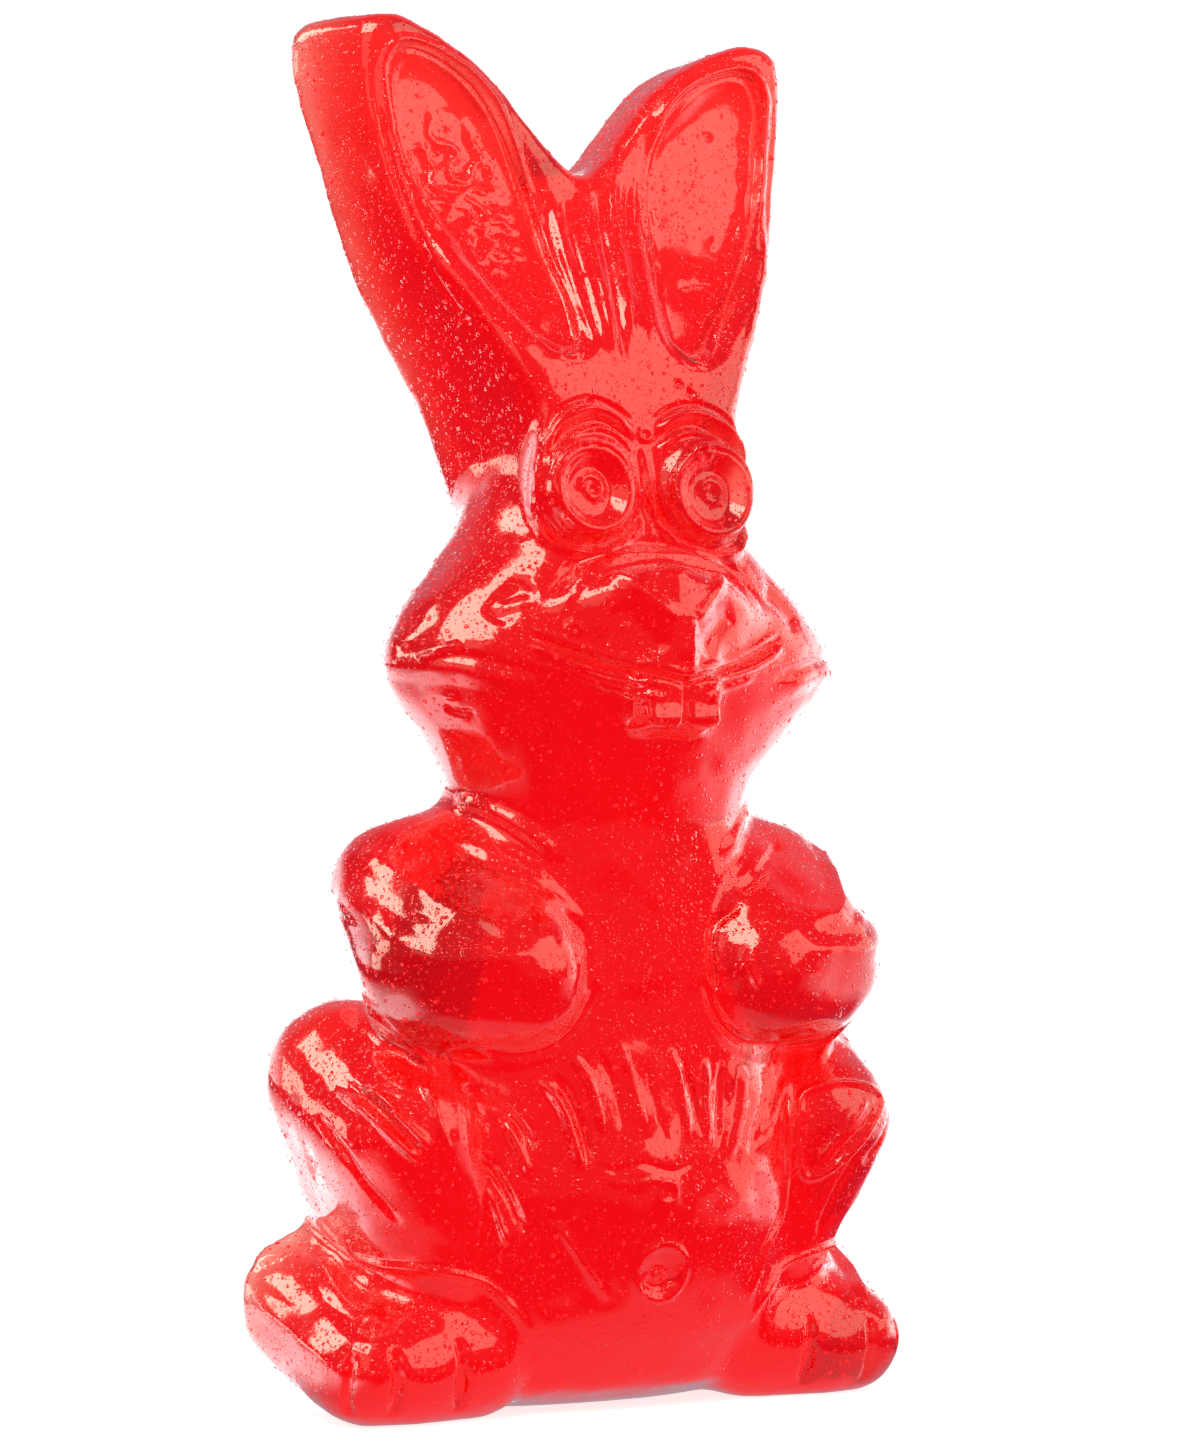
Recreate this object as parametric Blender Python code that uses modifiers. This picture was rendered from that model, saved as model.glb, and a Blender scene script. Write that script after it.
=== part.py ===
"""A moulded gummy bunny, sitting upright: one solid piece of fruit jelly, about 100 mm tall.

X runs across the bunny, -Y is the way it looks and Z is up. Lengths are written in
millimetres and turned into metres where a mesh is made. "Forward" is the distance in
front of the heels, so a larger number is nearer to someone who looks the bunny in the face.
"""

import math

import bmesh
import bpy
import numpy as np
from mathutils import Matrix, Vector

MM = 0.001
SIDES = (-1, 1)

# Driving dimensions, millimetres
HEIGHT = 99.5  # floor to the top of the ears
HEEL_BACK = -1.5  # forward place of the back at the floor
EAR_BACK = -3.8  # forward place of the back at the ear tips, which lean away
NOSE_FRONT = 18.2  # forward place of the nose ridge, the foremost point
MIDDLE = (NOSE_FRONT + EAR_BACK) / 2  # forward place of the model's Y = 0


EYE_HEIGHT, EYE_OUT, EYE_RADIUS = 65.1, 4.9, 3.5
EYE_FRONT = 13.6  # forward place of the flat face of an eye
SOCKET_HALF_WIDTH, SOCKET_HALF_HEIGHT = 3.7, 5.2
TEETH_WIDTH, TEETH_TOP, TEETH_BOTTOM, TEETH_FRONT = 6.4, 51.8, 48.2, 17.8
NAVEL_HEIGHT, NAVEL_RADIUS = 10.3, 1.9
TOE_GAPS = (14.3, 19.4)  # how far out the grooves between the toes are

FORM_VOXEL = 0.6  # cell of the mesh that melts the forms together
SMOOTH_PASSES = 4
WANTED_TRIANGLES = 11900

# Colour of the thick jelly
RED = (0.80, 0.010, 0.016, 1.0)


def place(x, forward, z):
    """A point of the bunny, in metres."""
    return Vector((x, MIDDLE - forward, z)) * MM


def clear_scene():
    for old in list(bpy.data.objects):
        bpy.data.objects.remove(old, do_unlink=True)


def new_collection(name):
    made = bpy.data.collections.new(name)
    bpy.context.scene.collection.children.link(made)
    return made


def mesh_object(name, mesh, collection):
    made = bpy.data.objects.new(name, mesh)
    collection.objects.link(made)
    return made


def evaluated_mesh(obj):
    graph = bpy.context.evaluated_depsgraph_get()
    graph.update()
    return bpy.data.meshes.new_from_object(obj.evaluated_get(graph))


def settle(obj):
    """Applies an object's modifiers."""
    mesh = evaluated_mesh(obj)
    obj.modifiers.clear()
    obj.data = mesh


# ---------------------------------------------------------------- forms


def add_ball(bm, centre, radii, sides=32):
    """An ellipsoid."""
    size = Matrix.Diagonal([radius * MM for radius in radii] + [1.0])
    where = Matrix.Translation(place(*centre)) @ size
    bmesh.ops.create_uvsphere(bm, u_segments=sides, v_segments=sides // 2, radius=1.0, matrix=where)


def add_skin(bm, balls):
    """One skin drawn tight round several balls, each (centre, radii)."""
    skin = bmesh.new()
    for centre, radii in balls:
        add_ball(skin, centre, radii)
    bmesh.ops.delete(skin, geom=skin.edges[:] + skin.faces[:], context="EDGES_FACES")
    bmesh.ops.convex_hull(skin, input=skin.verts)
    inside = [vertex for vertex in skin.verts if not vertex.link_faces]
    bmesh.ops.delete(skin, geom=inside, context="VERTS")
    bmesh.ops.recalc_face_normals(skin, faces=skin.faces)
    wrapped = bpy.data.meshes.new("skin")
    skin.to_mesh(wrapped)
    skin.free()
    bm.from_mesh(wrapped)
    bpy.data.meshes.remove(wrapped)


def other_side(balls):
    return [((-x, forward, z), radii) for (x, forward, z), radii in balls]


def superellipse(half_width, half_depth, squareness, count):
    """Points of a rounded oblong, which gets squarer as squareness passes 2."""
    points = []
    for step in range(count):
        angle = 2 * math.pi * step / count
        c, s = math.cos(angle), math.sin(angle)
        x = math.copysign(abs(c) ** (2 / squareness), c) * half_width
        y = math.copysign(abs(s) ** (2 / squareness), s) * half_depth
        points.append((x, y))
    return points


def add_loft(bm, sections, count=40):
    """A column through level sections, each (height, half width, back, front, squareness)."""
    rings = []
    for height, half_width, back, front, squareness in sections:
        middle, half_depth = (front + back) / 2, (front - back) / 2
        ring = superellipse(half_width, half_depth, squareness, count)
        rings.append([bm.verts.new(place(x, middle - y, height)) for x, y in ring])
    for lower, upper in zip(rings, rings[1:]):
        for i in range(count):
            j = (i + 1) % count
            bm.faces.new((lower[i], lower[j], upper[j], upper[i]))
    bm.faces.new(reversed(rings[0]))
    bm.faces.new(rings[-1])


# Level sections: height, half width, back, front, squareness
TRUNK = (
    (-1.0, 7.0, -3.0, 1.5, 2.0),
    (0.5, 12.0, -3.0, 7.5, 2.1),
    (1.6, 13.5, -3.0, 10.6, 2.2),
    (6.0, 15.0, -3.0, 13.0, 2.2),
    (13.0, 15.5, -3.2, 13.9, 2.2),
    (21.0, 14.8, -3.2, 13.8, 2.2),
    (29.0, 13.5, -3.2, 13.3, 2.2),
    (36.0, 12.0, -3.2, 13.0, 2.2),
    (42.0, 11.4, -2.8, 12.9, 2.1),
    (45.0, 11.9, -2.6, 13.6, 2.0),
)
HEAD = (
    (42.5, 10.5, -2.0, 12.2, 2.0),
    (44.7, 12.1, -2.2, 13.6, 2.0),
    (47.5, 14.3, -2.2, 14.8, 2.0),
    (50.3, 16.8, -2.0, 15.5, 2.0),
    (52.4, 18.0, -1.8, 15.8, 2.0),
    (54.0, 18.0, -1.8, 15.8, 2.0),
    (57.2, 15.9, -2.2, 15.1, 2.0),
    (60.2, 12.6, -2.4, 14.3, 2.25),
    (63.0, 10.4, -2.6, 12.4, 2.5),
    (66.0, 8.8, -2.8, 11.7, 2.7),
    (69.5, 9.2, -2.9, 11.8, 2.9),
)

# Limbs of the bunny's left side, as balls with a skin drawn round them: centre, radii
ARM = (
    ((8.6, 3.5, 39.0), (5.2, 6.0, 4.6)),  # collar
    ((14.9, 3.6, 37.1), (5.3, 5.0, 4.8)),  # shoulder
    ((15.4, 9.3, 31.5), (5.4, 5.4, 5.6)),  # elbow end of the forearm
    ((10.0, 11.4, 31.0), (4.9, 4.9, 5.2)),  # paw
)
LEG = (
    ((17.9, 1.0, 23.3), (6.0, 5.5, 6.0)),  # haunch
    ((17.0, 7.4, 19.8), (5.9, 5.6, 5.7)),  # knee
    ((14.8, 0.2, 15.5), (5.2, 4.5, 8.5)),  # behind the shin
    ((13.6, 5.4, 12.2), (4.8, 5.8, 6.4)),  # shin
)
FOOT = (
    ((19.2, -2.9, 8.1), (6.2, 5.5, 5.1)),  # heel
    ((15.0, 3.4, 5.0), (7.4, 7.2, 6.0)),  # instep
    ((19.7, 8.0, 3.7), (4.0, 3.9, 3.9)),  # outer toe
    ((16.8, 7.8, 3.5), (3.6, 4.2, 4.0)),  # middle toe
    ((12.0, 7.2, 4.1), (5.0, 4.4, 4.5)),  # inner toe
)

# The muzzle stands out of the face as a wedge with a sharp vertical front: centre, radius
MUZZLE_RIDGE = (
    ((0.0, 16.6, 59.0), 0.9),
    ((0.0, 17.4, 56.0), 0.9),
    ((0.0, 17.3, 52.4), 0.9),
    ((0.0, 9.0, 57.5), 1.5),
)
MUZZLE_SIDE = (
    ((4.6, 15.5, 58.0), 0.9),
    ((8.2, 13.6, 56.0), 0.9),
    ((8.9, 13.2, 54.8), 0.9),
    ((5.6, 14.8, 53.4), 0.9),
    ((7.5, 8.0, 57.0), 1.5),
)


def body_forms():
    """Trunk, head, limbs and feet as one bag of overlapping shapes."""
    bm = bmesh.new()
    add_loft(bm, TRUNK)
    add_loft(bm, HEAD)
    for limb in (ARM, LEG, FOOT):
        add_skin(bm, limb)
        add_skin(bm, other_side(limb))
    muzzle = [(centre, (radius,) * 3) for centre, radius in MUZZLE_RIDGE]
    half = [(centre, (radius,) * 3) for centre, radius in MUZZLE_SIDE]
    add_skin(bm, muzzle + half + other_side(half))
    return bm


# ---------------------------------------------------------------- ears and forehead

PLATE_HALF = 5.0  # half the thickness of the flat plate that is bent into the ears
# How much wider the outer side of an ear is at its back edge than in front, at some heights
FLARE_HEIGHTS = (70.0, 76.0, 84.0, 89.0, 95.5)
FLARES = (2.6, 3.0, 2.2, 2.6, 4.0)
NOTCH_HEIGHT = 87.0  # the inner sides of the ears rise from here
# Half width of the front face at the brow and towards the tips
FACE_HEIGHTS = (70.0, 95.0)
FACE_WIDTHS = (8.0, 16.6)

# The forehead runs into the ears in one slope: its forward place at the brow and at the tips,
# the height of its steepest part and the height over which it leans back
BROW_FRONT, TIP_FRONT, SLOPE_HEIGHT, SLOPE_SPAN = 12.5, 2.7, 80.8, 4.0

# Right half of the front outline, across and up, from the notch between the ears
EAR_OUTLINE = (
    (0.0, 88.0),
    (1.7, 88.9),
    (4.8, 92.4),
    (7.9, 95.8),
    (12.0, 98.1),
    (15.2, 99.0),
    (16.5, 98.2),
    (16.7, 95.5),
    (16.1, 89.6),
    (13.8, 82.1),
    (11.5, 78.0),
    (9.5, 74.3),
    (8.0, 70.5),
    (7.0, 66.0),
    (5.0, 62.8),
    (0.0, 61.0),
)
LEAF_OUTLINE = (
    (4.5, 75.2),
    (3.7, 79.0),
    (4.4, 85.2),
    (6.1, 91.0),
    (9.6, 94.4),
    (13.2, 96.5),
    (15.0, 95.3),
    (14.7, 89.6),
    (12.7, 84.4),
    (9.0, 78.6),
)
LEAF_DEPTH = 1.5


def back_place(height):
    """How far forward the back of the bunny is at a height."""
    return HEEL_BACK + (EAR_BACK - HEEL_BACK) * height / HEIGHT


def flat_plate(name, outline, half_thickness, lift, edge):
    """A filled outline with round edges, as a mesh. Its Z is the thickness."""
    curve = bpy.data.curves.new(name, "CURVE")
    curve.dimensions = "2D"
    curve.fill_mode = "BOTH"
    curve.extrude = (half_thickness - edge) * MM
    curve.bevel_depth = edge * MM
    curve.offset = -0.6 * edge * MM
    curve.bevel_resolution = 2
    curve.resolution_u = 6
    spline = curve.splines.new("BEZIER")
    spline.bezier_points.add(len(outline) - 1)
    for point, (x, z) in zip(spline.bezier_points, outline):
        point.co = (x * MM, z * MM, 0.0)
        point.handle_left_type = point.handle_right_type = "AUTO"
    spline.use_cyclic_u = True
    guide = bpy.data.objects.new(name, curve)
    bpy.context.scene.collection.objects.link(guide)
    mesh = evaluated_mesh(guide)
    bpy.data.objects.remove(guide, do_unlink=True)
    bm = bmesh.new()
    bm.from_mesh(mesh)
    bmesh.ops.remove_doubles(bm, verts=bm.verts, dist=0.01 * MM)
    bmesh.ops.translate(bm, verts=bm.verts, vec=(0.0, 0.0, lift * MM))
    bmesh.ops.recalc_face_normals(bm, faces=bm.faces)
    bm.to_mesh(mesh)
    bm.free()
    return mesh


def mirrored(outline):
    """Both halves of an outline given from its middle round to its middle."""
    return list(outline) + [(-x, z) for x, z in reversed(outline[1:-1])]


def bend_ears(mesh):
    """Bends the flat plate: its front follows the forehead and its back the bunny's back."""
    points = np.empty(len(mesh.vertices) * 3)
    mesh.vertices.foreach_get("co", points)
    x, z, thick = (points.reshape(-1, 3) / MM).T
    share = (PLATE_HALF - thick) / (2 * PLATE_HALF)
    front = TIP_FRONT + (BROW_FRONT - TIP_FRONT) / (1 + np.exp((z - SLOPE_HEIGHT) / SLOPE_SPAN))
    forward = front + (back_place(z) - front) * share
    inner = np.maximum(0, z - NOTCH_HEIGHT)
    outer = np.interp(z, FACE_HEIGHTS, FACE_WIDTHS)
    across = np.clip((abs(x) - inner) / (outer - inner), 0, 1)
    flare = np.interp(z, FLARE_HEIGHTS, FLARES)
    wide = x + np.sign(x) * flare * share * across
    bent = np.stack([wide, MIDDLE - forward, z], axis=1)
    mesh.vertices.foreach_set("co", (bent * MM).ravel())
    mesh.update()


def ear_forms(bm, helpers):
    """Adds the forehead with both ears, their leaf-shaped hollows already cut."""
    plate = mesh_object("ear_plate", flat_plate("ear_plate", mirrored(EAR_OUTLINE), PLATE_HALF, 0, 0.9), helpers)
    grain = plate.modifiers.new("grain", "REMESH")
    grain.mode = "VOXEL"
    grain.voxel_size = FORM_VOXEL * MM
    for side in SIDES:
        outline = [(side * x, z) for x, z in LEAF_OUTLINE]
        lift = PLATE_HALF
        leaf = mesh_object(f"ear_hollow_{side}", flat_plate("leaf", outline, LEAF_DEPTH, lift, 0.4), helpers)
        hollow = plate.modifiers.new(f"hollow_{side}", "BOOLEAN")
        hollow.operation = "DIFFERENCE"
        hollow.object = leaf
    settle(plate)
    bend_ears(plate.data)
    bmesh.ops.recalc_face_normals(bm, faces=bm.faces)
    bm.from_mesh(plate.data)


# ---------------------------------------------------------------- face details


def add_disc(bm, centre, radius, back, front, sides=32):
    """A short round peg facing forward."""
    x, z = centre
    turn = Matrix.Rotation(math.radians(90), 4, "X")
    where = Matrix.Translation(place(x, (back + front) / 2, z)) @ turn
    bmesh.ops.create_cone(
        bm, cap_ends=True, segments=sides, radius1=radius * MM, radius2=radius * MM,
        depth=(front - back) * MM, matrix=where,
    )


def add_block(bm, centre, size):
    where = Matrix.Translation(place(*centre)) @ Matrix.Diagonal((size[0] * MM, size[1] * MM, size[2] * MM, 1.0))
    bmesh.ops.create_cube(bm, size=1.0, matrix=where)


def add_ring(bm, centre, half_width, half_height, thickness):
    """An oval wire ring facing forward."""
    bpy.ops.mesh.primitive_torus_add(
        major_radius=half_width * MM, minor_radius=thickness * MM, major_segments=48, minor_segments=12,
        rotation=(math.radians(90), 0, 0),
    )
    ring = bpy.context.object
    stretch = Matrix.Diagonal((1.0, 1.0, half_height / half_width, 1.0))
    ring.data.transform(Matrix.Translation(place(*centre)) @ stretch @ ring.matrix_world)
    bm.from_mesh(ring.data)
    bpy.data.objects.remove(ring, do_unlink=True)


def face_details(bm):
    """Goggle eyes in their sockets and the block of the two front teeth."""
    for side in SIDES:
        eye = side * EYE_OUT
        add_disc(bm, (eye, EYE_HEIGHT), EYE_RADIUS, EYE_FRONT - 6.0, EYE_FRONT)
        add_ring(bm, (eye, EYE_FRONT - 1.9, EYE_HEIGHT + 0.3), SOCKET_HALF_WIDTH, SOCKET_HALF_HEIGHT, 0.65)
    depth = 6.0
    middle = (0, TEETH_FRONT - depth / 2, (TEETH_TOP + TEETH_BOTTOM) / 2)
    add_block(bm, middle, (TEETH_WIDTH, depth, TEETH_TOP - TEETH_BOTTOM))


def cutters(helpers):
    """What is cut away once the forms are one skin: pupils, toe gaps, tooth gap and navel."""
    bm = bmesh.new()
    for side in SIDES:
        add_ball(bm, (side * EYE_OUT, EYE_FRONT + 0.7, EYE_HEIGHT), (1.9, 1.3, 2.2), sides=20)
        for toe_gap in TOE_GAPS:
            add_ball(bm, (side * toe_gap, 12.6, 1.8), (0.55, 2.2, 3.2), sides=12)
    add_block(bm, (0, TEETH_FRONT, (TEETH_TOP + TEETH_BOTTOM) / 2), (0.5, 1.4, 5.0))
    add_ball(bm, (0, 14.6, NAVEL_HEIGHT), (NAVEL_RADIUS, 1.8, NAVEL_RADIUS), sides=20)
    cutter = bpy.data.meshes.new("carving")
    bm.to_mesh(cutter)
    bm.free()
    return mesh_object("carving", cutter, helpers)


def box_cutter(name, low, high, helpers):
    bm = bmesh.new()
    centre = (Vector(low) + Vector(high)) / 2
    size = Vector(high) - Vector(low)
    bmesh.ops.create_cube(bm, size=1.0, matrix=Matrix.Translation(centre * MM) @ Matrix.Diagonal((*(size * MM), 1.0)))
    mesh = bpy.data.meshes.new(name)
    bm.to_mesh(mesh)
    bm.free()
    return mesh_object(name, mesh, helpers)


def back_cutter(helpers):
    """Everything behind the flat back, which leans away towards the ears."""
    half_width, far, low, high = 45.0, 40.0, -10.0, HEIGHT + 10.0
    cutter = box_cutter("behind_back", (-half_width, 0.0, low), (half_width, far, high), helpers)
    for vertex in cutter.data.vertices:
        height = vertex.co.z / MM
        if vertex.co.y < far * MM / 2:
            vertex.co.y = (MIDDLE - back_place(height)) * MM
    return cutter


def subtract(target, cutter):
    cut = target.modifiers.new(f"minus_{cutter.name}", "BOOLEAN")
    cut.operation = "DIFFERENCE"
    cut.object = cutter


def jelly_material():
    jelly = bpy.data.materials.new("red_jelly")
    jelly.use_nodes = True
    shader = jelly.node_tree.nodes["Principled BSDF"]
    shader.inputs["Base Color"].default_value = RED
    shader.inputs["Roughness"].default_value = 0.12
    shader.inputs["Metallic"].default_value = 0.0
    jelly.diffuse_color = RED
    return jelly


def stand_at_origin(mesh):
    """Centres the bunny on X = Y = 0 with its soles on Z = 0."""
    points = np.empty(len(mesh.vertices) * 3)
    mesh.vertices.foreach_get("co", points)
    points = points.reshape(-1, 3)
    low, high = points.min(axis=0), points.max(axis=0)
    points -= ((low[0] + high[0]) / 2, (low[1] + high[1]) / 2, low[2])
    mesh.vertices.foreach_set("co", points.ravel())
    mesh.update()


def build():
    clear_scene()
    parts = new_collection("gummy_bunny_parts")
    helpers = new_collection("cutters")

    bm = body_forms()
    face_details(bm)
    ear_forms(bm, helpers)
    mesh = bpy.data.meshes.new("gummy_bunny")
    bm.to_mesh(mesh)
    bm.free()
    bunny = mesh_object("gummy_bunny", mesh, parts)

    melt = bunny.modifiers.new("melt", "REMESH")
    melt.mode = "VOXEL"
    melt.voxel_size = FORM_VOXEL * MM
    soften = bunny.modifiers.new("soften", "SMOOTH")
    soften.factor = 0.5
    soften.iterations = SMOOTH_PASSES
    subtract(bunny, cutters(helpers))
    settle(bunny)

    thin = bunny.modifiers.new("thin", "DECIMATE")
    bunny.data.calc_loop_triangles()
    thin.ratio = WANTED_TRIANGLES / len(bunny.data.loop_triangles)
    thin.use_collapse_triangulate = True
    settle(bunny)

    subtract(bunny, box_cutter("below_floor", (-45, -40, -20), (45, 40, 0), helpers))
    subtract(bunny, back_cutter(helpers))
    settle(bunny)
    stand_at_origin(bunny.data)
    bunny.data.materials.clear()
    bunny.data.materials.append(jelly_material())
    bunny.data.shade_smooth()

    for helper in list(helpers.objects):
        bpy.data.objects.remove(helper, do_unlink=True)
    print("gummy bunny:", len(bunny.data.polygons), "faces")


build()
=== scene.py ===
# %% [markdown]
# # A red gummy bunny
# The real thing is one piece of clear fruit jelly, poured hot into a mould and turned out when it
# has set. It is soft, glossy and see-through: thin places such as the ears look coral, thick
# places such as the belly look deep red, and fine beads of moisture sit all over its skin. This
# script takes the plain solid of the bunny and gives it that skin, step by step.

import math

import bmesh
import bpy
import numpy as np
from mathutils import Matrix, Vector, noise


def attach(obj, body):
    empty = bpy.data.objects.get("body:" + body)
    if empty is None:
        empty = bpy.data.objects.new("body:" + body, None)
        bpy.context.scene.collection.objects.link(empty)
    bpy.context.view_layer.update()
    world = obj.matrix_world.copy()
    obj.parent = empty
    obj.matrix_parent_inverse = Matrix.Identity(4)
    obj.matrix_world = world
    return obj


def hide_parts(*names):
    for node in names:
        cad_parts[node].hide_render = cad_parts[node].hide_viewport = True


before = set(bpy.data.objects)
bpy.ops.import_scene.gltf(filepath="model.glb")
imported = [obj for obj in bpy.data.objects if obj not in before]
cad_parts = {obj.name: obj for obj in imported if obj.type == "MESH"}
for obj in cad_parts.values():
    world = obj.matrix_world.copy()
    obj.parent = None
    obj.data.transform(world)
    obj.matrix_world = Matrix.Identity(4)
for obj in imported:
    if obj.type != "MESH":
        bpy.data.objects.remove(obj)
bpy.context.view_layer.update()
MM = 0.001

# %% [markdown]
# ## Where things are
# A mould maker measures from the heels: how far out to the side, how far forward and how high.
# The mesh itself has X across, minus Y forward and Z up, in metres, so two small helpers change
# between the two. HEEL is where the maker's forward distance starts in the mesh.

# %% Helpers for places
HEEL = 7.2  # Y of the heels, in millimetres
BOTH = (-1, 1)  # the bunny's right and left side


def to_maker(points):
    """Mesh points in metres to millimetres across, forward and up."""
    x, y, z = points.T / MM
    return np.stack([x, HEEL - y, z], axis=1)


def to_mesh(points):
    """Millimetres across, forward and up to mesh points in metres."""
    x, forward, z = np.asarray(points, dtype=float).T
    return np.stack([x, HEEL - forward, z], axis=1) * MM


def read_points(mesh):
    values = np.empty(len(mesh.vertices) * 3)
    mesh.vertices.foreach_get("co", values)
    return to_maker(values.reshape(-1, 3))


def write_points(mesh, points):
    mesh.vertices.foreach_set("co", to_mesh(points).ravel())
    mesh.update()


def read_normals(mesh):
    values = np.empty(len(mesh.vertices) * 3)
    mesh.vertex_normals.foreach_get("vector", values)
    return values.reshape(-1, 3) * (1, -1, 1)


def add_object(name, data):
    made = bpy.data.objects.new(name, data)
    bpy.context.scene.collection.objects.link(made)
    return made


def settle(obj):
    """Applies the object's modifiers, so that it carries one plain mesh."""
    graph = bpy.context.evaluated_depsgraph_get()
    graph.update()
    obj.data, old = bpy.data.meshes.new_from_object(obj.evaluated_get(graph)), obj.data
    obj.modifiers.clear()
    bpy.data.meshes.remove(old)


# %% [markdown]
# ## The skin
# Jelly has no edges: surface tension and the soft mould round everything off. The solid is made of
# flat triangles, so a copy of it is melted into an even mesh of tiny squares with a voxel remesh and
# then smoothed. A remesh was chosen over subdivision because it makes squares of one size, which
# take fine dents and ridges equally well everywhere.

# %% Melt a copy of the solid
COARSE, FINE = 0.42, 0.21  # size of a square of skin, in millimetres
WELD = 0.002  # corners closer than this become one, in millimetres
FAINTEST = 0.02  # a share of smoothing below this is left out


def melt(obj, voxel, passes):
    grain = obj.modifiers.new("grain", "REMESH")
    grain.mode = "VOXEL"
    grain.voxel_size = voxel * MM
    soften = obj.modifiers.new("soften", "SMOOTH")
    soften.factor = 0.5
    soften.iterations = passes
    settle(obj)


def welded_copy(node, name):
    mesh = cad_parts[node].data.copy()
    mesh.name = name
    mesh.materials.clear()
    bm = bmesh.new()
    bm.from_mesh(mesh)
    bmesh.ops.remove_doubles(bm, verts=bm.verts, dist=WELD * MM)
    bm.to_mesh(mesh)
    bm.free()
    return add_object(name, mesh)


def soften_zone(obj, centre, reach, passes):
    """Smooths one zone of the skin, and its twin on the other side, much more than the rest."""
    points = read_points(obj.data)
    points[:, 0] = abs(points[:, 0])
    share = np.exp(-np.sum(((points - centre) / reach) ** 2, axis=1))
    zone = obj.vertex_groups.new(name="zone")
    for index in np.flatnonzero(share > FAINTEST):
        zone.add([int(index)], float(share[index]), "REPLACE")
    soften = obj.modifiers.new("soften", "SMOOTH")
    soften.factor = 0.5
    soften.iterations = passes
    soften.vertex_group = "zone"
    settle(obj)
    obj.vertex_groups.clear()


# The zones where the ears flow into the head: centre, reach and number of smoothing passes
TEMPLES = (
    ((9.5, 1.0, 66.0), (4.5, 7.0, 5.0), 60),
    ((11.0, -2.5, 66.0), (4.5, 5.0, 6.0), 150),
)
bunny = welded_copy("gummy_bunny", "jelly_bunny")
melt(bunny, COARSE, 8)
for centre, reach, passes in TEMPLES:
    soften_zone(bunny, centre, reach, passes)
print("melted skin:", len(bunny.data.vertices), "points")

# %% [markdown]
# ## Crisp parts
# A few parts of the face come out of the mould with firmer edges than the rest: the goggle eyes
# and the two front teeth. They could be pushed out of the skin, but a peg and a rounded block
# melted in with a finer remesh keep their outlines sharper.

# %% Pegs for the eyes and blocks for the teeth
EYE_OUT, EYE_HEIGHT, EYE_RADIUS, EYE_FRONT = 4.9, 65.1, 3.45, 13.75
PEG_LENGTH, PEG_EDGE = 4.0, 0.3
TOOTH_WIDTH, TOOTH_HEIGHT, TOOTH_DEPTH = 2.9, 3.7, 4.0
TOOTH_FRONT, TEETH_MIDDLE = 17.75, 49.9
TOOTH_APART, TOOTH_ROUNDING, TOOTH_LEAN = 0.12, 0.45, -13.0


def add_lathe(bm, centre, profile, sides=72):
    """A closed turned form facing forward, from (radius, forward) steps."""
    rings = []
    for radius, forward in profile:
        ring = []
        for step in range(sides):
            turn = 2 * math.pi * step / sides
            across, up = radius * math.cos(turn), radius * math.sin(turn)
            ring.append((centre[0] + across, forward, centre[1] + up))
        rings.append([bm.verts.new(p) for p in to_mesh(ring)])
    for one, two in zip(rings, rings[1:]):
        for i in range(sides):
            j = (i + 1) % sides
            bm.faces.new((one[i], one[j], two[j], two[i]))
    bm.faces.new(rings[0])
    bm.faces.new(rings[-1])


def add_soft_block(bm, centre, size, rounding, lean):
    """A block with round edges; its front faces lean degrees down, or up where lean is negative."""
    block = bmesh.new()
    bmesh.ops.create_cube(block, size=1.0, matrix=Matrix.Diagonal((*size, 1.0)))
    edges = block.edges[:]
    bmesh.ops.bevel(block, geom=edges, offset=rounding, segments=4, profile=0.5, affect="EDGES")
    tilt = Matrix.Rotation(math.radians(lean), 4, "X")
    place = Matrix.Translation(to_mesh([centre])[0]) @ Matrix.Scale(MM, 4) @ tilt
    bmesh.ops.transform(block, matrix=place, verts=block.verts)
    made = bpy.data.meshes.new("block")
    block.to_mesh(made)
    block.free()
    bm.from_mesh(made)
    bpy.data.meshes.remove(made)


def crisp_parts():
    bm = bmesh.new()
    for side in BOTH:
        peg = [
            (EYE_RADIUS, EYE_FRONT - PEG_LENGTH),
            (EYE_RADIUS, EYE_FRONT - PEG_EDGE),
            (EYE_RADIUS - 0.1, EYE_FRONT - 0.1),
            (EYE_RADIUS - PEG_EDGE, EYE_FRONT),
        ]
        add_lathe(bm, (side * EYE_OUT, EYE_HEIGHT), peg)
        tooth = (side * (TOOTH_WIDTH / 2 + TOOTH_APART), TOOTH_FRONT - TOOTH_DEPTH / 2, TEETH_MIDDLE)
        size = (TOOTH_WIDTH, TOOTH_DEPTH, TOOTH_HEIGHT)
        add_soft_block(bm, tooth, size, TOOTH_ROUNDING, TOOTH_LEAN)
    bmesh.ops.recalc_face_normals(bm, faces=bm.faces)
    return bm


parts = crisp_parts()
parts.from_mesh(bunny.data)
parts.to_mesh(bunny.data)
parts.free()
melt(bunny, FINE, 2)
print("fine skin:", len(bunny.data.vertices), "points")

# %% [markdown]
# ## Carving
# The mould maker cut the fur, the smile and the folds with a small round tool, so each of them is
# one stroke of even width that dies out at its ends. In the script a stroke is a smooth path on the
# skin: every point of skin near it moves along its own normal, out for a ridge and in for a groove.
# This is what a sculpting brush does, but it can be repeated exactly and mirrored to the other side.

# %% A carving tool
SKIN_DEPTH = 1.6  # a stroke reaches this far above and below its path, in millimetres


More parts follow.
